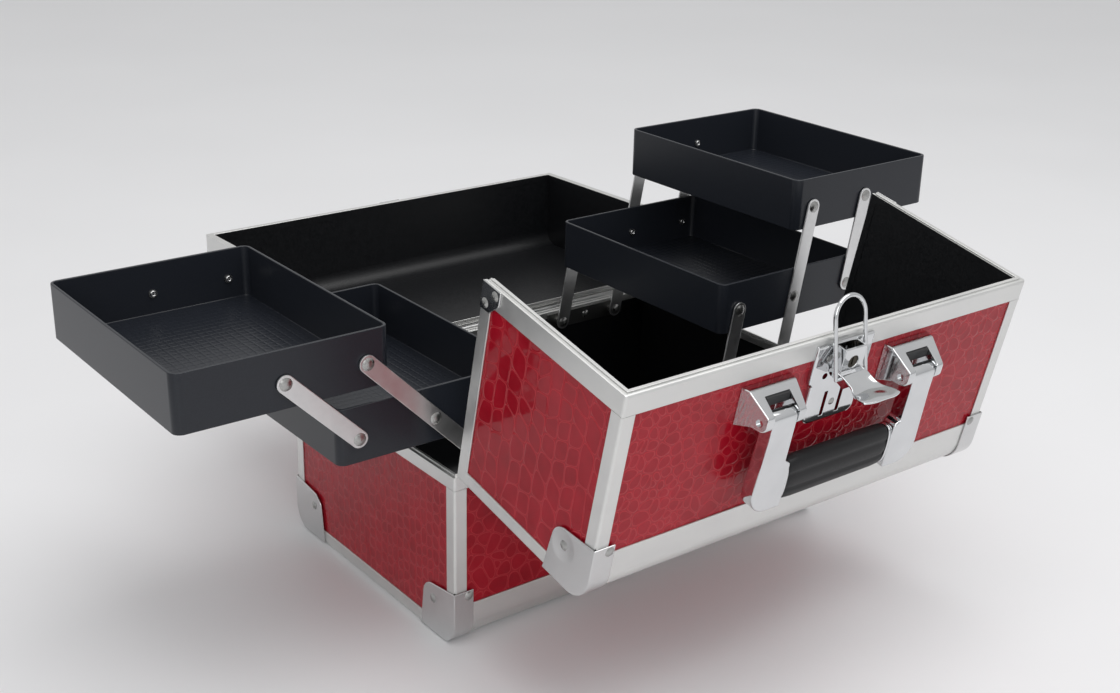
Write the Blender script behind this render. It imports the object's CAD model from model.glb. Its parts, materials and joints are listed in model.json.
"""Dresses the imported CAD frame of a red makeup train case, which stands wide open. Units are metres."""

import json
import math
import random

import bmesh
import bpy
from mathutils import Matrix, Vector, geometry, noise


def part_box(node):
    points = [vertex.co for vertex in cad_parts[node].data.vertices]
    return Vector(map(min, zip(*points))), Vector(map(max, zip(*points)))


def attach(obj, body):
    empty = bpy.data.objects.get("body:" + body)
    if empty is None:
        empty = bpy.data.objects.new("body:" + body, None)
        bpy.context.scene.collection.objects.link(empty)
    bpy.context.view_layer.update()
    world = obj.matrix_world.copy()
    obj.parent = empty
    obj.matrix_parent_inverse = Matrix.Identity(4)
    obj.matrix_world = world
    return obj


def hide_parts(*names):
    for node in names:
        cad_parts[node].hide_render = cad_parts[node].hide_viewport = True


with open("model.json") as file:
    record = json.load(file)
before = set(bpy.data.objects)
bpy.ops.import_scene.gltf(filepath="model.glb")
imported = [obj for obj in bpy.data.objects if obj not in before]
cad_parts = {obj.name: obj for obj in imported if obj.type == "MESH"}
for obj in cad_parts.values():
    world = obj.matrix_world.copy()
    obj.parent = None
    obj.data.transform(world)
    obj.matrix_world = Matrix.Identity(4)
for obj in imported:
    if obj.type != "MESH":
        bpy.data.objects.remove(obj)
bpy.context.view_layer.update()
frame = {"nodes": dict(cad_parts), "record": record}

# The setting: the case stands on a pale, slightly glossy studio floor, seen over its front left corner.
# A wide softbox hangs above it and a second one stands at the front left. A pale room, a little darker
# towards the horizon, gives the rest of the light.
MM = 0.001
camera_place = Vector((-0.6776, -0.8726, 0.5863))
camera_yaw = math.radians(-37.67)
camera_pitch = math.radians(-21.66)
camera_roll = math.radians(1.303)
focal_length_in_pixels = 1542
picture_width_in_pixels = 1120
room_strength = 0.9
room_greys = (
    # height of the direction, colour of the room there
    (0.0, (0.62, 0.625, 0.63)),
    (0.2, (0.65, 0.655, 0.66)),
    (0.45, (0.72, 0.72, 0.725)),
    (1.0, (0.8, 0.8, 0.8)),
)
floor_half_side = 20.0
floor_drop = 0.2 * MM
floor_greys = ((0.77, 0.77, 0.78), (0.79, 0.79, 0.8))
grain_low = 0.3
grain_high = 0.7

sight = Vector(
    (
        -math.sin(camera_yaw) * math.cos(camera_pitch),
        math.cos(camera_yaw) * math.cos(camera_pitch),
        math.sin(camera_pitch),
    )
)
level_right = sight.cross(Vector((0, 0, 1))).normalized()
level_up = level_right.cross(sight)
camera_right = level_right * math.cos(camera_roll) + level_up * math.sin(camera_roll)
camera_up = level_up * math.cos(camera_roll) - level_right * math.sin(camera_roll)
camera_turn = Matrix((camera_right, camera_up, -sight)).transposed().to_4x4()
lens = bpy.data.cameras.new("photo_camera")
lens.sensor_fit = "HORIZONTAL"
lens.sensor_width = 36
lens.lens = lens.sensor_width * (focal_length_in_pixels / picture_width_in_pixels)
camera = bpy.data.objects.new("photo_camera", lens)
bpy.context.scene.collection.objects.link(camera)
camera.matrix_world = Matrix.Translation(camera_place) @ camera_turn
bpy.context.scene.camera = camera
bpy.context.scene.view_settings.view_transform = "Standard"


def node_in(tree, kind, settings=None, **inputs):
    """A new shader node with its settings and inputs, which are plain values or other nodes' outputs."""
    made = tree.nodes.new("ShaderNode" + kind)
    for name, value in (settings or {}).items():
        setattr(made, name, value)
    for name, value in inputs.items():
        socket = made.inputs[name.replace("_", " ")]
        if isinstance(value, bpy.types.NodeSocket):
            tree.links.new(value, socket)
        else:
            socket.default_value = value
    return made


def ramp_in(tree, factor, stops):
    """A colour ramp through the given (place, colour) stops."""
    ramp = node_in(tree, "ValToRGB", Fac=factor)
    marks = ramp.color_ramp.elements
    marks[0].position = stops[0][0]
    marks[-1].position = stops[-1][0]
    for place, _ in stops[1:-1]:
        marks.new(place)
    for mark, (_, colour) in zip(marks, stops):
        mark.color = (*colour, 1)
    return ramp.outputs["Color"]


room = bpy.data.worlds.new("pale_room")
room.use_nodes = True
bpy.context.scene.world = room
room_tree = room.node_tree
room_direction = node_in(room_tree, "TexCoord").outputs["Generated"]
room_height = node_in(room_tree, "SeparateXYZ", Vector=room_direction).outputs["Z"]
backdrop = room_tree.nodes["Background"]
room_tree.links.new(ramp_in(room_tree, room_height, room_greys), backdrop.inputs["Color"])
backdrop.inputs["Strength"].default_value = room_strength


def softbox(name, place, target, side, power):
    """A square softbox at a place, turned towards its target; its side in metres and its power in watts."""
    lamp = bpy.data.lights.new(name, "AREA")
    lamp.shape = "SQUARE"
    lamp.size = side
    lamp.energy = power
    held = bpy.data.objects.new(name, lamp)
    bpy.context.scene.collection.objects.link(held)
    held.location = place
    held.rotation_euler = (Vector(target) - Vector(place)).to_track_quat("-Z", "Y").to_euler()


softbox("overhead_softbox", place=(0.15, -0.5, 2.1), target=(0, -0.1, 0.1), side=1.8, power=24)
softbox("front_softbox", place=(-1.6, -2.4, 1.5), target=(0, 0, 0.15), side=1.6, power=16)


def new_finish(name, colour, roughness, metallic=0.0):
    """A material with its shader, ready for the nodes that give it its grain."""
    finish = bpy.data.materials.new(name)
    finish.use_nodes = True
    shader = finish.node_tree.nodes["Principled BSDF"]
    shader.inputs["Base Color"].default_value = (*colour, 1)
    shader.inputs["Roughness"].default_value = roughness
    shader.inputs["Metallic"].default_value = metallic
    return finish, finish.node_tree, shader


def grained(tree, shader, scale, roughness, colours=None, depth=0.0, stretch=(1, 1, 1), detail=3):
    """Noise of that many grains a metre: it moves the roughness, tints the colour and lifts the surface."""
    place = node_in(tree, "TexCoord").outputs["Object"]
    drawn = node_in(tree, "Mapping", Vector=place, Scale=stretch).outputs["Vector"]
    speckle = node_in(tree, "TexNoise", Vector=drawn, Scale=scale, Detail=detail).outputs["Fac"]
    spread = node_in(tree, "MapRange", Value=speckle, From_Min=grain_low, From_Max=grain_high)
    spread.inputs["To Min"].default_value = roughness[0]
    spread.inputs["To Max"].default_value = roughness[1]
    tree.links.new(spread.outputs["Result"], shader.inputs["Roughness"])
    if colours:
        tint = ramp_in(tree, speckle, [(grain_low, colours[0]), (grain_high, colours[1])])
        tree.links.new(tint, shader.inputs["Base Color"])
    if depth:
        relief = node_in(tree, "Bump", Height=speckle, Distance=depth, Strength=1.0)
        tree.links.new(relief.outputs["Normal"], shader.inputs["Normal"])


floor_finish, floor_tree, floor_shader = new_finish("pale_floor", floor_greys[0], 0.4)
grained(floor_tree, floor_shader, 3, (0.36, 0.44), floor_greys)
floor_signs = ((-1, -1), (1, -1), (1, 1), (-1, 1))
floor_corners = [(x * floor_half_side, y * floor_half_side, -floor_drop) for x, y in floor_signs]
floor_mesh = bpy.data.meshes.new("studio_floor")
floor_mesh.from_pydata(floor_corners, [], [(0, 1, 2, 3)])
floor_mesh.materials.append(floor_finish)
studio_floor = bpy.data.objects.new("studio_floor", floor_mesh)
bpy.context.scene.collection.objects.link(studio_floor)

# The red boards of the base: thin board under a glossy red film, hot pressed with a reptile scale relief.
# Each scale is a flat plate inside a fine raised vein, and a narrow crease parts it from the next one.
# Flank scales are round and loose; belly scales are long and stand in columns.
flank_pitch = 9.5 * MM
flank_row_step = 0.87
flank_drift = 0.5
flank_drift_waves = (0.31, 0.29, 900)
flank_jitter = 0.3
flank_left_out = 0.12
flank_doubled = 0.86
outside_rows = 2
belly_pitch = 12.5 * MM
belly_squeeze = 2.4
belly_overrun = 4
belly_row_steps = (0.85, 1.5)
belly_slant_step = 0.22
belly_slant_jitter = 0.12
belly_lean = 0.12
belly_lean_waves = 55
belly_lean_jitter = 0.05
belly_left_out = 0.14
base_front_pitch = flank_pitch * 1.2
base_left_pitch = belly_pitch * 0.62
neighbour_reach = 4
most_neighbours = 20
loop_step = 2.7 * MM
fewest_corners = 5
edge_wander = 0.7 * MM
wander_waves = (95, 95, 50)
plate_tilt = 0.012
film_seed = 11
noise.seed_set(film_seed)
scale_rings = (
    # inset from the crease, largest share of the scale's reach, height, vein colour, smoothing
    (0.0, 0.0, 0.04 * MM, 0.1, 0),
    (0.32 * MM, 0.16, 0.06 * MM, 0.2, 1),
    (0.58 * MM, 0.28, 0.17 * MM, 0.9, 1),
    (0.85 * MM, 0.4, 0.12 * MM, 0.0, 2),
    (1.5 * MM, 0.58, 0.11 * MM, 0.0, 3),
)
plate_height = scale_rings[-1][2]
plate_reds = ((0.26, 0.003, 0.011), (0.34, 0.006, 0.017))
vein_red = (0.5, 0.04, 0.05, 1)
same_way = 0.9999
same_level = 0.1 * MM


def outer_face(board, outward, along):
    """The flat outer face of a board: its two directions, its normal, its level and its flat outline."""
    mesh = frame["nodes"][board].data
    normal = max((p.normal.copy() for p in mesh.polygons), key=lambda n: n.dot(Vector(outward)))
    facing = [p for p in mesh.polygons if p.normal.dot(normal) > same_way]
    level = max(p.center.dot(normal) for p in facing)
    outermost = [p for p in facing if level - p.center.dot(normal) < same_level]
    corners = [mesh.vertices[i].co for p in outermost for i in p.vertices]
    across = normal.cross(Vector(along)).normalized()
    along = across.cross(normal)
    flat = [Vector((c.dot(along), c.dot(across))) for c in corners]
    outline = [flat[i] for i in geometry.convex_hull_2d(flat)]
    turn = sum(a.x * b.y - a.y * b.x for a, b in zip(outline, outline[1:] + outline[:1]))
    return along, across, normal, level, outline if turn > 0 else outline[::-1]


def flank_middles(low, high, pitch, chance):
    """The middles of flank scales: a loose honeycomb, with scales left out and small ones put between."""
    middles = []
    rows = int((high.y - low.y) / (pitch * flank_row_step)) + 2 * outside_rows + 1
    columns = int((high.x - low.x) / pitch) + 2 * outside_rows + 1
    for row in range(rows):
        for column in range(columns):
            half_step = row % 2 / 2
            middle = Vector((column + half_step - outside_rows, (row - outside_rows) * flank_row_step))
            middle = low + middle * pitch
            spot = [number * waves for number, waves in zip((column, row, pitch), flank_drift_waves)]
            middle += Vector(noise.noise_vector(spot)).xy * pitch * flank_drift
            aside = chance.uniform(-flank_jitter, flank_jitter)
            ahead = chance.uniform(-flank_jitter, flank_jitter)
            middle += Vector((aside, ahead)) * pitch
            draw = chance.random()
            if draw > flank_left_out:
                middles.append(middle)
            if draw > flank_doubled:
                middles.append(middle + Vector((0.5, chance.uniform(-0.4, 0.4))) * pitch)
    return middles


def belly_middles(low, high, pitch, chance):
    """The middles of belly scales: straight columns cut by slanting rows, with some cuts left out."""
    rows = [low.y - belly_overrun * pitch]
    while rows[-1] < high.y + belly_overrun * pitch:
        rows.append(rows[-1] + pitch * chance.uniform(*belly_row_steps))
    middles = []
    for column in range(int((high.x - low.x) / pitch) + 2 * outside_rows + 1):
        slant_jitter = chance.uniform(-belly_slant_jitter, belly_slant_jitter)
        slant = pitch * (belly_slant_step * column % 1 + slant_jitter)
        for y in rows:
            lean = belly_lean * math.sin(y * belly_lean_waves + column)
            lean += chance.uniform(-belly_lean_jitter, belly_lean_jitter)
            if chance.random() > belly_left_out:
                middles.append(Vector((low.x + (column - outside_rows + lean) * pitch, y + slant)))
    return middles


def trimmed(outline, middle, away):
    """The part of a convex outline that lies on the near side of a line."""
    kept = []
    for here, after in zip(outline, outline[1:] + outline[:1]):
        reach = (here - middle).dot(away)
        reach_after = (after - middle).dot(away)
        if reach <= 0:
            kept.append(here)
        if reach * reach_after < 0:
            kept.append(here.lerp(after, reach / (reach - reach_after)))
    return kept


def scale_outlines(outline, middles, pitch, squeeze):
    """The outline of each scale: all that is nearer to its middle than to others, squeezed across."""
    for middle in middles:
        near = []
        for other in middles:
            steps_away = abs(other.x - middle.x) + abs(other.y - middle.y)
            if other is not middle and steps_away < neighbour_reach * pitch:
                near.append(other)
        near.sort(key=lambda other: (other - middle).length)
        cell = outline
        for other in near[:most_neighbours]:
            apart = other - middle
            cell = trimmed(cell, (middle + other) / 2, Vector((apart.x * squeeze * squeeze, apart.y)))
            if len(cell) < 3:
                break
        if len(cell) >= 3:
            yield cell


def wandering_loop(cell, low, high, level):
    """A scale's outline in short steps that wander a little, but not at the board's borders."""
    loop = []
    for here, after in zip(cell, cell[1:] + cell[:1]):
        steps = max(1, round((after - here).length / loop_step))
        loop += [here.lerp(after, step / steps) for step in range(steps)]
    for i, point in enumerate(loop):
        spot = [place * waves for place, waves in zip((point.x, point.y, level), wander_waves)]
        margin = min(point.x - low.x, high.x - point.x, point.y - low.y, high.y - point.y)
        freedom = min(1, max(0, margin / (2 * edge_wander)))
        loop[i] = point + Vector(noise.noise_vector(spot)).xy * edge_wander * freedom
    return loop


def rounded_loop(loop, times):
    """A closed loop of points, smoothed."""
    for _ in range(times):
        loop = [(loop[i - 1] + loop[i] * 2 + loop[(i + 1) % len(loop)]) / 4 for i in range(len(loop))]
    return loop


def pressed_film(name, body, boards):
    """One piece on a body: a sheet of scales over each (board, outward, along, pitch, belly or not)."""
    points = []
    faces = []
    veins = []
    chance = random.Random(name)
    for board, outward, along, pitch, belly in boards:
        along, across, normal, level, outline = outer_face(board, outward, along)
        low = Vector((min(p.x for p in outline), min(p.y for p in outline)))
        high = Vector((max(p.x for p in outline), max(p.y for p in outline)))
        middles = (belly_middles if belly else flank_middles)(low, high, pitch, chance)
        for cell in scale_outlines(outline, middles, pitch, belly_squeeze if belly else 1.0):
            loop = wandering_loop(cell, low, high, level)
            count = len(loop)
            if count < fewest_corners:
                continue
            centre = sum(loop, Vector((0, 0))) / count
            tilt_along = chance.uniform(-plate_tilt, plate_tilt)
            tilt_across = chance.uniform(-plate_tilt, plate_tilt)
            tilt = Vector((tilt_along, tilt_across))
            first = len(points)
            for inset, most, height, vein, times in scale_rings:
                shares = [min(inset / max((point - centre).length, 1e-6), most) for point in loop]
                ring = [point.lerp(centre, share) for point, share in zip(loop, shares)]
                for point in rounded_loop(ring, times):
                    lift = tilt.dot(point - centre) if times > 1 else 0
                    points.append(along * point.x + across * point.y + normal * (level + height + lift))
                veins += [vein] * count
            points.append(along * centre.x + across * centre.y + normal * (level + plate_height))
            veins.append(0.0)
            for ring in range(len(scale_rings) - 1):
                for i in range(count):
                    here = first + ring * count + i
                    after = first + ring * count + (i + 1) % count
                    faces.append((here, after, after + count, here + count))
            top = first + (len(scale_rings) - 1) * count
            faces += [(top + i, top + (i + 1) % count, top + count) for i in range(count)]
    mesh = bpy.data.meshes.new(name)
    mesh.from_pydata(points, [], faces)
    mesh.polygons.foreach_set("use_smooth", [True] * len(faces))
    mesh.attributes.new("vein", "FLOAT", "POINT").data.foreach_set("value", veins)
    mesh.materials.append(film_finish)
    film = bpy.data.objects.new(name, mesh)
    bpy.context.scene.collection.objects.link(film)
    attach(film, body)


film_finish, film_tree, film_shader = new_finish("red_pressed_film", plate_reds[0], 0.3)
film_shader.inputs["Specular IOR Level"].default_value = 0.05
film_shader.inputs["Coat IOR"].default_value = 1.24
film_shader.inputs["Coat Weight"].default_value = 1.0
film_shader.inputs["Coat Roughness"].default_value = 0.05
film_place = node_in(film_tree, "TexCoord").outputs["Object"]
film_cloud = node_in(film_tree, "TexNoise", Vector=film_place, Scale=60.0, Detail=4.0).outputs["Fac"]
film_grain = node_in(film_tree, "TexNoise", Vector=film_place, Scale=1400.0, Detail=2.0).outputs["Fac"]
film_vein = node_in(film_tree, "Attribute", {"attribute_name": "vein"}).outputs["Fac"]
plate_red = ramp_in(film_tree, film_cloud, [(grain_low, plate_reds[0]), (grain_high, plate_reds[1])])
film_red = node_in(film_tree, "Mix", {"data_type": "RGBA"})
film_tree.links.new(film_vein, film_red.inputs["Factor"])
film_tree.links.new(plate_red, film_red.inputs["A"])
film_red.inputs["B"].default_value = vein_red
film_tree.links.new(film_red.outputs["Result"], film_shader.inputs["Base Color"])
film_rough = node_in(film_tree, "MapRange", Value=film_vein, To_Min=0.26, To_Max=0.42).outputs["Result"]
film_tree.links.new(film_rough, film_shader.inputs["Roughness"])
film_relief = node_in(film_tree, "Bump", Height=film_grain, Distance=0.012 * MM, Strength=0.5)
film_tree.links.new(film_relief.outputs["Normal"], film_shader.inputs["Normal"])


def dress(finish, *names):
    """Gives CAD nodes their finish."""
    for name in names:
        for held in frame["nodes"][name].material_slots:
            held.material = finish


dress(film_finish, "base_floor_panel", "base_long_panels", "base_end_panels")
pressed_film(
    "base_film",
    "base",
    [
        ("base_long_panels", (0, -1, 0), (1, 0, 0), base_front_pitch, False),
        ("base_long_panels", (0, 1, 0), (-1, 0, 0), flank_pitch, False),
        ("base_end_panels", (-1, 0, 0), (0, -1, 0), base_left_pitch, True),
        ("base_end_panels", (1, 0, 0), (0, 1, 0), belly_pitch, True),
    ],
)

# The lining of the base: thin black vinyl with a fine leather grain and a soft shine.
# It is glued to the inside of the boards before the rim goes on.
lining_black = ((0.0034, 0.0038, 0.0046), (0.0056, 0.006, 0.0072))
lining_finish, lining_tree, lining_shader = new_finish("black_lining", lining_black[0], 0.4)
grained(lining_tree, lining_shader, 500, (0.34, 0.46), lining_black, depth=0.05 * MM)
lining_shader.inputs["Specular IOR Level"].default_value = 0.4
dress(lining_finish, "base_lining")

# The aluminium of the base: satin anodised extrusions, sawn to length and pressed over the boards' edges.
# Quarter-round rails run along the bottom, plain angles stand at the corners, and a rim with a tongue
# closes the top.
satin_white = ((0.69, 0.69, 0.68), (0.73, 0.73, 0.715))
aluminium_finish, satin_tree, satin_shader = new_finish("satin_aluminium", satin_white[0], 0.45, 1.0)
grained(satin_tree, satin_shader, 60, (0.42, 0.48), satin_white, stretch=(0.4, 1, 1), detail=5)
frame_ease = 0.4 * MM
frame_round = 1.6 * MM
sharp_turn = math.radians(50)
curved_turn = math.radians(0.3)
widest_hole = 7 * MM
facet_breadth = 2.2 * MM
least_hull_share = 0.8
weld_gap = 0.002 * MM
flush_gap = 0.05 * MM
body_of = {node: body for body, nodes in frame["record"]["behaviour"]["bodies"].items() for node in nodes}
slot_of = {part["node"]: part["material_slot"] for part in frame["record"]["subparts"]}


def made_piece(name, mesh, finish, body, slot, *stands_for):
    """A new piece that rides on a body and, where nodes are given, takes their place."""
    mesh.materials.append(finish)
    piece = bpy.data.objects.new(name, mesh)
    bpy.context.scene.collection.objects.link(piece)
    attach(piece, body)
    if stands_for:
        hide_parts(*stands_for)
    return piece


def flat_regions(shape):
    """The faces of a mesh in groups that each lie in one plane."""
    seen = set()
    for face in shape.faces[:]:
        if face in seen:
            continue
        seen.add(face)
        region = [face]
        for here in region:
            beside = [other for edge in here.edges for other in edge.link_faces]
            for other in beside:
                if other not in seen and other.normal.angle(face.normal, 0) < curved_turn:
                    seen.add(other)
                    region.append(other)
        yield region


def hull_area(corners, normal):
    """The area of the tightest band round points that lie in one plane."""
    along = normal.orthogonal().normalized()
    across = normal.cross(along)
    flat = [Vector((corner.dot(along), corner.dot(across))) for corner in corners]
    hull = [flat[i] for i in geometry.convex_hull_2d(flat)]
    return abs(sum(a.cross(b) for a, b in zip(hull, hull[1:] + hull[:1]))) / 2


def hole_mouths(sharp):
    """Those sharp edges that form small rings of their own, as the mouths of drilled holes do."""
    left = set(sharp)
    mouths = set()
    for first in sharp:
        if first not in left:
            continue
        left.remove(first)
        ring = [first]
        for edge in ring:
            joined = [other for vert in edge.verts for other in vert.link_edges if other in left]
            left.difference_update(joined)
            ring += dict.fromkeys(joined)
        corners = [vert.co for edge in ring for vert in edge.verts]
        if max(max(c[i] for c in corners) - min(c[i] for c in corners) for i in range(3)) < widest_hole:
            mouths.update(ring)
    return mouths


def eased(finish, width, *names, steps=2, round_width=0.0, is_round=None):
    """Copies of CAD nodes with eased edges, which take their places; chosen edges get a bigger round."""
    widest = max(width, round_width)
    for name in names:
        shape = bmesh.new()
        shape.from_mesh(frame["nodes"][name].data)
        bmesh.ops.remove_doubles(shape, verts=shape.verts, dist=weld_gap)
        for region in list(flat_regions(shape)):
            sides = list(dict.fromkeys(edge for face in region for edge in face.edges))
            ends = list(dict.fromkeys(vert for face in region for vert in face.verts))
            area = sum(face.calc_area() for face in region)
            breadth = area / max(edge.calc_length() for edge in sides)
            bends = any(curved_turn < edge.calc_face_angle(0) <= sharp_turn for edge in sides)
            in_one_piece = len(region) > 1 and len(ends) - len(sides) + len(region) == 1
            least_area = least_hull_share * hull_area([vert.co for vert in ends], region[0].normal)
            if in_one_piece and area > least_area:
                region = bmesh.ops.dissolve_faces(shape, faces=region, use_verts=False)["region"]
            for face in region:
                face.smooth = bends and breadth < facet_breadth
        share = shape.edges.layers.float.new("bevel_weight_edge")
        sharp = [edge for edge in shape.edges if edge.calc_face_angle(0) > sharp_turn]
        mouths = hole_mouths(sharp)
        for edge in sharp:
            if edge not in mouths:
                rounder = is_round is not None and is_round(edge)
                edge[share] = (round_width if rounder else width) / widest
        mesh = bpy.data.meshes.new(name + "_eased")
        shape.to_mesh(mesh)
        shape.free()
        piece = made_piece(name + "_eased", mesh, finish, body_of[name], slot_of[name], name)
        bevel = piece.modifiers.new("eased_edges", "BEVEL")
        bevel.limit_method = "WEIGHT"
        bevel.width = widest
        bevel.segments = steps
        bevel.use_clamp_overlap = False


def rolled_frame(*names):
    """The profiles of one box: their outer corners are rounded more than their cut ends and flanges."""
    corners = [v.co for name in names for v in frame["nodes"][name].data.vertices]

    def is_outer(edge):
        start = edge.verts[0].co
        beyond = [max((corner - start).dot(face.normal) for corner in corners) for face in edge.link_faces]
        return max(beyond) < flush_gap

    eased(aluminium_finish, frame_ease, *names, steps=3, round_width=frame_round, is_round=is_outer)


rolled_frame("base_rim", "base_edge_angles", "base_bottom_rails")

# The corner caps of the base: bright steel pressings with a dished ear on each side.
# Domed steel rivets hold them to the rails.
cap_bright = ((0.6, 0.6, 0.6), (0.64, 0.64, 0.64))
cap_ease = 0.5 * MM
cap_finish, cap_tree, cap_shader = new_finish("pressed_cap_steel", cap_bright[0], 0.26, 1.0)
grained(cap_tree, cap_shader, 60, (0.15, 0.19), cap_bright)
rivet_bright = ((0.34, 0.34, 0.33), (0.44, 0.44, 0.43))
rivet_finish, rivet_tree, rivet_shader = new_finish("rivet_steel", rivet_bright[0], 0.22, 1.0)
grained(rivet_tree, rivet_shader, 400, (0.24, 0.38), rivet_bright, depth=0.01 * MM)
eased(cap_finish, cap_ease, "base_corner_caps")
dress(rivet_finish, "base_cap_rivets", "arm_strip_rivets")

# The strips and hinges of the base: dull steel strips riveted inside the long walls carry the tray arms.
# A piano hinge of plated steel along each long rim carries a lid.
plated = ((0.5, 0.5, 0.5), (0.6, 0.6, 0.59))
hinge_finish, hinge_tree, hinge_shader = new_finish("hinge_steel", plated[0], 0.3, 1.0)
grained(hinge_tree, hinge_shader, 250, (0.24, 0.38), plated, depth=0.012 * MM, stretch=(0.1, 1, 1))
dress(hinge_finish, "hinge_base_leaves", "hinge_pins")
dull_steel = ((0.17, 0.17, 0.165), (0.21, 0.21, 0.205))
strip_finish, strip_tree, strip_shader = new_finish("dull_strip_steel", dull_steel[0], 0.4, 1.0)
grained(strip_tree, strip_shader, 120, (0.36, 0.44), dull_steel, stretch=(0.2, 1, 1))
eased(strip_finish, 0.4 * MM, "arm_strips")

# The front lid, the wide one: four film-covered boards with the same lining in the same aluminium frame.
# It lies open on its piano hinge, so that its top faces the front and its long side faces the floor.
front_opening = math.radians(102)
front_top = Vector((0, -math.sin(front_opening), math.cos(front_opening)))
front_edge = Vector((0, math.cos(front_opening), math.sin(front_opening)))
dress(film_finish, "front_lid_face_panel", "front_lid_side_panel", "front_lid_end_panels")
pressed_film(
    "front_lid_film",
    "front_lid",
    [
        ("front_lid_face_panel", front_top, (1, 0, 0), flank_pitch, False),
        ("front_lid_side_panel", -front_edge, (1, 0, 0), belly_pitch, True),
        ("front_lid_end_panels", (-1, 0, 0), front_top, belly_pitch, True),
        ("front_lid_end_panels", (1, 0, 0), front_top, flank_pitch, False),
    ],
)
dress(lining_finish, "front_lid_lining")
rolled_frame("front_lid_rim", "front_lid_edge_angles", "front_lid_round_rail")
eased(cap_finish, cap_ease, "front_lid_corner_caps", "front_lid_corner_brackets")
dress(rivet_finish, "front_lid_rivets")
dress(hinge_finish, "front_lid_hinge_leaf")

# The bead on the front lid's free edge: the rim's inner lip, which enters the other lid in the closed case.
# It is satin aluminium, drawn in one piece with the rim, and it runs round three sides.
bead_width = 2.3 * MM
bead_height = 0.9 * MM
bead_inset = 2.9 * MM
lengthways = Vector((1, 0, 0))


def rim_span(lid, direction):
    """How far a lid's rim reaches along a direction, from its nearest to its farthest point."""
    reaches = [v.co.dot(direction) for v in frame["nodes"][lid + "_rim"].data.vertices]
    return min(reaches), max(reaches)


def bent_strip(name, lid, finish, slot, side, run, thick, out, rise, up):
    """A strip round three sides of a lid: out along one end, across, and back along the other end."""
    foot, reach = run
    inner_side = side - thick
    inner_reach = reach - math.copysign(thick, reach - foot)
    outer = [(-side, foot), (-side, reach), (side, reach), (side, foot)]
    inner = [(-inner_side, foot), (-inner_side, inner_reach), (inner_side, inner_reach), (inner_side, foot)]
    shape = bmesh.new()
    rings = []
    for outside, inside in zip(outer, inner):
        section = [(outside, rise[0]), (outside, rise[1]), (inside, rise[1]), (inside, rise[0])]
        places = [lengthways * x + out * depth + up * level for (x, depth), level in section]
        rings.append([shape.verts.new(place) for place in places])
    for here, after in zip(rings, rings[1:]):
        for i in range(4):
            shape.faces.new((here[i - 1], here[i], after[i], after[i - 1]))
    shape.faces.new(rings[0])
    shape.faces.new(rings[-1])
    bmesh.ops.recalc_face_normals(shape, faces=shape.faces)
    mesh = bpy.data.meshes.new(name)
    shape.to_mesh(mesh)
    shape.free()
    return made_piece(name, mesh, finish, lid, slot)


bead_foot, bead_roof = rim_span("front_lid", front_top)
bead_level = rim_span("front_lid", front_edge)[1]
bead = bent_strip(
    "front_lid_bead",
    "front_lid",
    aluminium_finish,
    "aluminium",
    side=rim_span("front_lid", lengthways)[1] - bead_inset,
    run=(bead_foot + bead_inset, bead_roof - bead_inset),
    thick=bead_width,
    out=front_top,
    rise=(bead_level, bead_level + bead_height),
    up=front_edge,
)
bead_round = bead.modifiers.new("eased_edges", "BEVEL")
bead_round.width = 0.3 * MM
bead_round.segments = 2

# The lining's turned edge: the vinyl runs on over the inner face of a lid's rim, just short of its flat.
# It is the same glued sheet as the lining, so only the flat of the aluminium shows round the openings.
rim_wall = 5.4 * MM
rim_depth = 6 * MM
lip_sheet = 0.3 * MM
lip_margin = 0.5 * MM


def lining_lips(lid, top, edge):
    """Strips of lining on the rim's inner faces, round the free edge and round the mouth to the base."""
    side = rim_span(lid, lengthways)[1] - rim_wall
    foot, roof = rim_span(lid, top)
    near, far = rim_span(lid, edge)
    slot = slot_of[lid + "_lining"]
    run = (foot + rim_depth, roof - rim_wall)
    rise = (far - rim_depth, far - lip_margin)
    bent_strip(lid + "_edge_lip", lid, lining_finish, slot, side, run, lip_sheet, top, rise, edge)
    run = (far - lip_margin, near + rim_wall)
    rise = (foot + lip_margin, foot + rim_depth)
    bent_strip(lid + "_mouth_lip", lid, lining_finish, slot, side, run, lip_sheet, edge, rise, top)


lining_lips("front_lid", front_top, front_edge)

# The back lid, the narrow one: the same boards, film, lining and aluminium frame as the front lid has.
# It is laid open to the rear on its own piano hinge.
back_opening = math.radians(91)
back_top = Vector((0, math.sin(back_opening), math.cos(back_opening)))
back_edge = Vector((0, -math.cos(back_opening), math.sin(back_opening)))
dress(film_finish, "back_lid_face_panel", "back_lid_side_panel", "back_lid_end_panels")
pressed_film(
    "back_lid_film",
    "back_lid",
    [
        ("back_lid_face_panel", back_top, (-1, 0, 0), flank_pitch, False),
        ("back_lid_side_panel", -back_edge, (-1, 0, 0), belly_pitch, True),
        ("back_lid_end_panels", (-1, 0, 0), back_top, belly_pitch, True),
        ("back_lid_end_panels", (1, 0, 0), back_top, flank_pitch, False),
    ],
)
dress(lining_finish, "back_lid_lining")
lining_lips("back_lid", back_top, back_edge)
rolled_frame("back_lid_rim", "back_lid_edge_angles", "back_lid_round_rail")
eased(cap_finish, cap_ease, "back_lid_corner_caps", "back_lid_corner_brackets")
dress(rivet_finish, "back_lid_rivets")
dress(hinge_finish, "back_lid_hinge_leaf")

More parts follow.
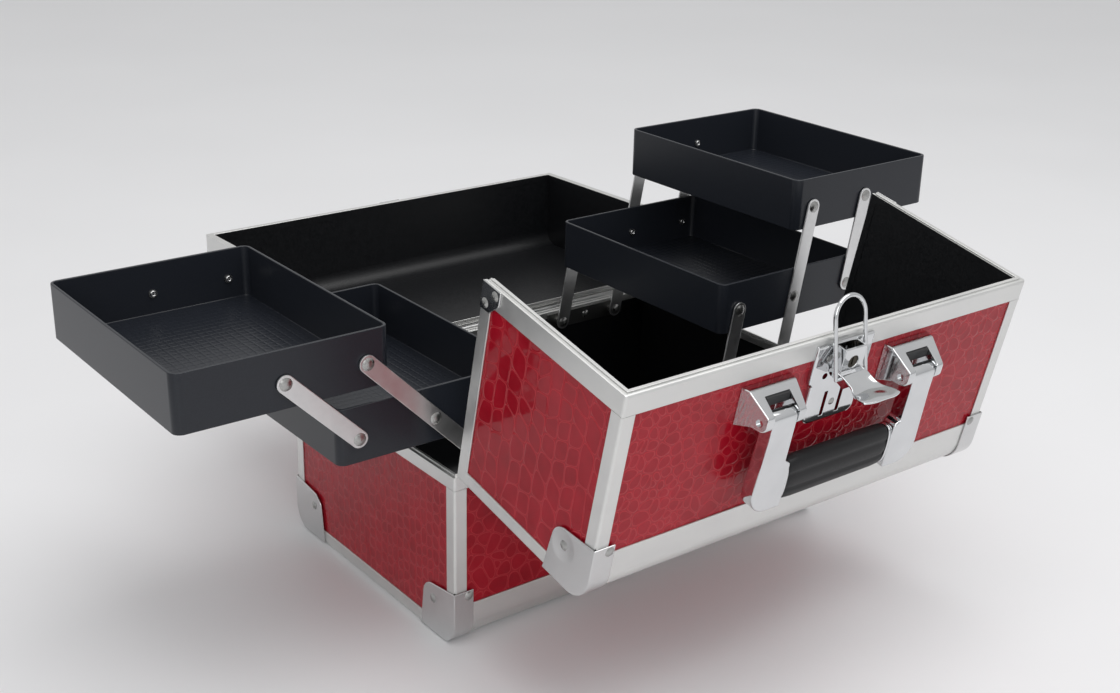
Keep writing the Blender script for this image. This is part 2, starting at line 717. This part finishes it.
# The handle's metal: die-cast brackets and cranked arms on steel pins, all polished and chrome plated.
# The brackets are fixed through the front lid's face board, and the arms swing on the pins.
chrome_bright = ((0.62, 0.63, 0.64), (0.68, 0.69, 0.7))
chrome_finish, chrome_tree, chrome_shader = new_finish("chrome_plate", chrome_bright[0], 0.08, 1.0)
grained(chrome_tree, chrome_shader, 45, (0.05, 0.11), chrome_bright)
eased(chrome_finish, 0.8 * MM, "handle_brackets", steps=3)
eased(chrome_finish, 1.2 * MM, "handle_arms", steps=4)
dress(chrome_finish, "handle_pins")

# The spring housings of the handle: a black moulded block sits in each bracket behind the arm's eye.
# It is pushed in from behind before the bracket is fixed to the lid.
spring_black = ((0.006, 0.006, 0.007), (0.01, 0.01, 0.011))
spring_finish, spring_tree, spring_shader = new_finish("spring_block", spring_black[0], 0.45)
grained(spring_tree, spring_shader, 500, (0.38, 0.52), spring_black, depth=0.02 * MM)
pivot_of = {joint["name"]: Vector(joint["pos_m"]) for joint in frame["record"]["behaviour"]["joints"]}
handle_pivot = pivot_of["handle_swing"]
bracket_middle = 62 * MM
spring_half_width = 10 * MM
spring_across = (6.6 * MM, 13 * MM)
spring_rise = (-14 * MM, -4.5 * MM)


def spring_block(name, x):
    """A block in the bracket whose middle is at x."""
    points = []
    for across in spring_across:
        for rise in spring_rise:
            for side in (-spring_half_width, spring_half_width):
                place = handle_pivot + lengthways * (x + side)
                points.append(place + front_edge * across + front_top * rise)
    faces = [(0, 1, 3, 2), (4, 6, 7, 5), (0, 2, 6, 4), (1, 5, 7, 3), (2, 3, 7, 6), (0, 4, 5, 1)]
    mesh = bpy.data.meshes.new(name)
    mesh.from_pydata(points, [], faces)
    block = made_piece(name, mesh, spring_finish, "front_lid", "grip")
    bevel = block.modifiers.new("eased_edges", "BEVEL")
    bevel.width = 0.6 * MM
    bevel.segments = 2


spring_block("left_handle_spring", -bracket_middle)
spring_block("right_handle_spring", bracket_middle)

# The handle's grip: a black rubber sleeve with two soft grooves along each side.
# It is pushed over a bar and held between two chrome ferrules at the arms.
grip_black = ((0.008, 0.008, 0.009), (0.013, 0.013, 0.014))
grip_finish, grip_tree, grip_shader = new_finish("black_grip", grip_black[0], 0.45)
grained(grip_tree, grip_shader, 700, (0.4, 0.52), grip_black, depth=0.03 * MM)
grip_shader.inputs["Specular IOR Level"].default_value = 0.28
grip_points = [v.co for v in frame["nodes"]["handle_grip"].data.vertices]
grip_along = [p.dot(front_edge) for p in grip_points]
grip_out = [p.dot(front_top) for p in grip_points]
grip_half_length = max(p.x for p in grip_points)
grip_half_height = (max(grip_along) - min(grip_along)) / 2
grip_half_depth = (max(grip_out) - min(grip_out)) / 2
grip_middle = front_edge * (min(grip_along) + max(grip_along)) / 2
grip_middle += front_top * (min(grip_out) + max(grip_out)) / 2
grip_sides = 64
squareness_up = 0.75
squareness_out = 0.6
groove_depth = 0.9 * MM
groove_place = 0.36
groove_breadth = 0.11
ferrule_length = 1.6 * MM
ferrule_lip = 0.3 * MM


def grip_loop(x, scale, grooved):
    """One ring of points round the grip, drawn in at its two grooves on each side."""
    loop = []
    for i in range(grip_sides):
        turn = 2 * math.pi * i / grip_sides
        up = math.copysign(abs(math.sin(turn)) ** squareness_up, math.sin(turn))
        out = math.copysign(abs(math.cos(turn)) ** squareness_out, math.cos(turn))
        groove = math.exp(-(((abs(up) - groove_place) / groove_breadth) ** 2)) * groove_depth * grooved
        depth = grip_half_depth * scale * out - math.copysign(groove, out) * min(1, abs(out) * 2)
        place = lengthways * x + grip_middle + front_edge * grip_half_height * scale * up
        loop.append(place + front_top * depth)
    return loop


def lofted(name, loops):
    """A closed mesh through the given rings of points."""
    count = len(loops[0])
    points = [p for loop in loops for p in loop]
    faces = []
    for ring in range(len(loops) - 1):
        for i in range(count):
            here = ring * count + i
            after = ring * count + (i + 1) % count
            faces.append((here, after, after + count, here + count))
    faces += [tuple(range(count))[::-1], tuple(range(len(points) - count, len(points)))]
    mesh = bpy.data.meshes.new(name)
    mesh.from_pydata(points, [], faces)
    mesh.polygons.foreach_set("use_smooth", [len(face) == 4 for face in faces])
    return mesh


grip_end = grip_half_length - ferrule_length
grip_stations = [(-grip_end, 0.84), (-grip_end + 1 * MM, 0.92), (-grip_end + 3 * MM, 0.97)]
grip_stations += [(x * grip_end, 1.0) for x in (-0.8, -0.4, 0.0, 0.4, 0.8)]
grip_stations += [(-x, scale) for x, scale in grip_stations[2::-1]]
grip_mesh = lofted("ribbed_grip", [grip_loop(x, scale, 1.0) for x, scale in grip_stations])
made_piece("ribbed_grip", grip_mesh, grip_finish, "handle", "grip", "handle_grip")
right_stations = [
    (grip_end, 0.9),
    (grip_end + ferrule_lip, 0.98),
    (grip_half_length - ferrule_lip, 0.98),
    (grip_half_length, 0.95),
]
left_stations = [(-x, scale) for x, scale in right_stations[::-1]]
for hand, stations in (("left", left_stations), ("right", right_stations)):
    ferrule = lofted(hand + "_ferrule", [grip_loop(x, scale, 0.0) for x, scale in stations])
    made_piece(hand + "_ferrule", ferrule, chrome_finish, "handle", "chrome")

# The latch: a folded plate and a lock housing riveted to the front lid, a wire bail, and the catch on the
# back lid. All are bright plated steel; only the key plug is darkened brass.
brass = ((0.05, 0.045, 0.035), (0.075, 0.065, 0.05))
brass_finish, brass_tree, brass_shader = new_finish("key_brass", brass[0], 0.35, 1.0)
grained(brass_tree, brass_shader, 600, (0.3, 0.42), brass, depth=0.01 * MM)
plate_middle = sum(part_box("latch_plate"), Vector()) / 2
plate_border_reach = 15 * MM


def is_plate_border(edge):
    """Whether an edge of the latch plate lies on its outer border, in front."""
    middle = (edge.verts[0].co + edge.verts[1].co) / 2 - plate_middle
    normals = [face.normal for face in edge.link_faces]
    in_front = any(normal.dot(front_top) > 0.99 for normal in normals)
    sideways = [normal for normal in normals if abs(normal.dot(front_top)) < 0.1]
    return in_front and any(normal.dot(middle) > plate_border_reach for normal in sideways)


eased(chrome_finish, 0.35 * MM, "latch_plate", steps=3, round_width=1.5 * MM, is_round=is_plate_border)
eased(chrome_finish, 0.5 * MM, "lock_housing", steps=3)
eased(chrome_finish, 0.35 * MM, "latch_catch")
dress(chrome_finish, "latch_lever_pin", "latch_bail")
dress(brass_finish, "lock_key_plug")

# The thumb lever: a chrome plated sheet pressing that flares out from a narrow waist to a scooped lip.
# Two cheeks, folded down at its sides, hold it on the lever pin.
lever_pivot = pivot_of["lever_swing"]
lever_opening = math.radians(75)
lever_turn = front_opening - lever_opening
lever_back = Vector((0, math.cos(lever_turn), math.sin(lever_turn)))
lever_up = Vector((0, -math.sin(lever_turn), math.cos(lever_turn)))
lever_start = 6.5 * MM
lever_end = 34.6 * MM
lever_waist = 10.9 * MM
lever_lip = 16 * MM
lever_rows = 30
lever_columns = 32
lever_sheet = 1.2 * MM
lever_height = 3 * MM
flare_from = 0.3
flare_run = 0.55
lip_corner_cut = 5.5 * MM
lip_straight = 0.35
lip_rise = 6 * MM
lip_rise_from = 0.45
lip_rise_run = 0.65
lip_droop = 1.6 * MM
waist_dip = 1.1 * MM
waist_dip_run = 0.3
eye_radius = 2.8 * MM


def smooth_step(value):
    """A soft step from 0 to 1."""
    value = min(1, max(0, value))
    return value * value * (3 - 2 * value)


def lever_spot(x, back, up):
    """A place on the lever, measured from its pivot."""
    return lever_pivot + lengthways * x - lever_back * back + lever_up * up


lever_points = []
for row in range(lever_rows + 1):
    share = row / lever_rows
    flare = smooth_step((share - flare_from) / flare_run)
    half_width = lever_waist + (lever_lip - lever_waist) * flare
    rise = lip_rise * smooth_step((share - lip_rise_from) / lip_rise_run)
    dip = waist_dip * smooth_step(share / waist_dip_run) * (1 - flare)
    for column in range(lever_columns + 1):
        aside = 2 * column / lever_columns - 1
        reach = lever_start + (lever_end - lever_start) * share
        reach -= lip_corner_cut * flare * max(0, abs(aside) - lip_straight) ** 2
        lift = lever_height + rise - lip_droop * flare * aside * aside
        lift -= dip * (1 - aside * aside)
        lever_points.append(lever_spot(aside * half_width, reach, lift))
lever_faces = []
for row in range(lever_rows):
    for column in range(lever_columns):
        corner = row * (lever_columns + 1) + column
        lever_faces.append((corner, corner + lever_columns + 1, corner + lever_columns + 2, corner + 1))
lever_mesh = bpy.data.meshes.new("scooped_lever")
lever_mesh.from_pydata(lever_points, [], lever_faces)
lever_mesh.polygons.foreach_set("use_smooth", [True] * len(lever_faces))
lever = made_piece("scooped_lever", lever_mesh, chrome_finish, "lever", "chrome", "latch_lever")
lever_thickness = lever.modifiers.new("sheet", "SOLIDIFY")
lever_thickness.thickness = lever_sheet
lever_thickness.offset = 0
lever_round = lever.modifiers.new("eased_edges", "BEVEL")
lever_round.width = 0.3 * MM
lever_round.segments = 2
lever_round.angle_limit = sharp_turn

eye_turns = [math.radians(degrees) for degrees in range(-20, 201, 20)]
cheek_line = [(15 * MM, 2.6 * MM), (lever_start, lever_height)]
cheek_line += [(-eye_radius * math.sin(turn), eye_radius * math.cos(turn)) for turn in eye_turns]
cheek_line += [(12 * MM, -eye_radius)]
for hand, sign in (("left", -1), ("right", 1)):
    cheek_faces = sorted((lever_waist * sign, (lever_waist - lever_sheet) * sign))
    loops = [[lever_spot(x, back, up) for back, up in cheek_line] for x in cheek_faces]
    cheek = lofted(hand + "_lever_cheek", loops)
    made_piece(hand + "_lever_cheek", cheek, chrome_finish, "lever", "chrome")

# The trays: injection moulded in blue-black plastic, with a fine waffle of raised squares on the floor.
# Tubular steel rivets hold them to the arms. Each rivet's end is rolled over a collar inside the tray.
tray_black = ((0.012, 0.014, 0.019), (0.015, 0.0175, 0.0235))
tray_finish, tray_tree, tray_shader = new_finish("tray_plastic", tray_black[0], 0.3)
grained(tray_tree, tray_shader, 900, (0.28, 0.32), tray_black, depth=0.003 * MM, detail=1)
tray_shader.inputs["Specular IOR Level"].default_value = 0.36
tray_ease = 0.55 * MM
below_tray_rim = 5 * MM
waffle_pitch = 6 * MM
waffle_gap = 0.5 * MM
waffle_slope = 0.9 * MM
waffle_height = 0.12 * MM
waffle_margin = 6 * MM
clinch_sides = 24
clinch_profile = (
    # radius and rise of the rolled end, from its foot over the roll to the bore, in millimetres
    (2.3, 0.0),
    (2.4, 0.4),
    (2.15, 0.8),
    (1.7, 0.95),
    (1.3, 0.8),
    (1.1, 0.4),
    (1.05, 0.1),
)


def waffle_floor(tray):
    """The raised squares on a tray's floor, as a piece of their own that lies on it."""
    mesh = frame["nodes"][tray].data
    low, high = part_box(tray)
    upward = [p for p in mesh.polygons if p.normal.z > 0.999 and p.center.z < high.z - below_tray_rim]
    floor_level = max(upward, key=lambda p: p.area).center.z
    points = []
    faces = []
    counts = [int((high[i] - low[i] - 2 * waffle_margin) / waffle_pitch) for i in range(2)]
    starts = [(low[i] + high[i] - counts[i] * waffle_pitch) / 2 for i in range(2)]
    for column in range(counts[0]):
        for row in range(counts[1]):
            x = starts[0] + column * waffle_pitch
            y = starts[1] + row * waffle_pitch
            first = len(points)
            for inset, height in ((waffle_gap / 2, 0), (waffle_gap / 2 + waffle_slope, waffle_height)):
                near, far = inset, waffle_pitch - inset
                for dx, dy in ((near, near), (far, near), (far, far), (near, far)):
                    points.append((x + dx, y + dy, floor_level + height))
            for i in range(4):
                after = (i + 1) % 4
                faces.append((first + i, first + after, first + after + 4, first + i + 4))
            faces.append((first + 4, first + 5, first + 6, first + 7))
    waffle_mesh = bpy.data.meshes.new(tray + "_waffle")
    waffle_mesh.from_pydata(points, [], faces)
    made_piece(tray + "_waffle", waffle_mesh, tray_finish, tray, "tray_plastic")


def rivet_collars(tray):
    """The middle and the direction of each rivet's end face inside a tray."""
    rivets = bmesh.new()
    rivets.from_mesh(frame["nodes"][tray + "_rivets"].data)
    bmesh.ops.remove_doubles(rivets, verts=rivets.verts, dist=weld_gap)
    inward = []
    for region in flat_regions(rivets):
        corners = [vert.co for face in region for vert in face.verts]
        middle = Vector([(min(c[i] for c in corners) + max(c[i] for c in corners)) / 2 for i in range(3)])
        if region[0].normal.y * middle.y < -0.99 * abs(middle.y):
            inward.append((middle, region[0].normal.copy()))
    rivets.free()
    innermost = min(abs(middle.y) for middle, _ in inward)
    return [(middle, normal) for middle, normal in inward if abs(middle.y) - innermost <= same_level]


def clinches(tray):
    """The rolled ends of a tray's tubular rivets, which stand on the rivets' collars inside the tray."""
    joined = bmesh.new()
    for middle, normal in rivet_collars(tray):
        turns = [2 * math.pi * i / clinch_sides * normal.y for i in range(clinch_sides)]
        spokes = [Vector((math.sin(turn), 0, math.cos(turn))) for turn in turns]
        loops = []
        for radius, rise in clinch_profile:
            loops.append([middle + spoke * radius * MM + normal * rise * MM for spoke in spokes])
        rolled_end = lofted("clinch", loops)
        joined.from_mesh(rolled_end)
        bpy.data.meshes.remove(rolled_end)
    bmesh.ops.recalc_face_normals(joined, faces=joined.faces)
    mesh = bpy.data.meshes.new(tray + "_clinches")
    joined.to_mesh(mesh)
    joined.free()
    made_piece(tray + "_clinches", mesh, cap_finish, tray, slot_of[tray + "_rivets"])


for tray in ("left_lower_tray", "left_upper_tray", "right_lower_tray", "right_upper_tray"):
    eased(tray_finish, tray_ease, tray, steps=3)
    dress(rivet_finish, tray + "_rivets")
    clinches(tray)
    waffle_floor(tray)

# The tray arms: flat bars of plated steel with rounded ends, one pair on each side of the trays.
# They are stamped from strip, lightly deburred and hung on the rivets.
arm_steel = ((0.66, 0.66, 0.66), (0.72, 0.72, 0.72))
arm_ease = 0.35 * MM
arm_finish, arm_tree, arm_shader = new_finish("arm_steel", arm_steel[0], 0.36, 1.0)
grained(arm_tree, arm_shader, 120, (0.33, 0.39), arm_steel)
for hand in ("left", "right"):
    eased(arm_finish, arm_ease, hand + "_long_arms", hand + "_lower_links", hand + "_upper_links")
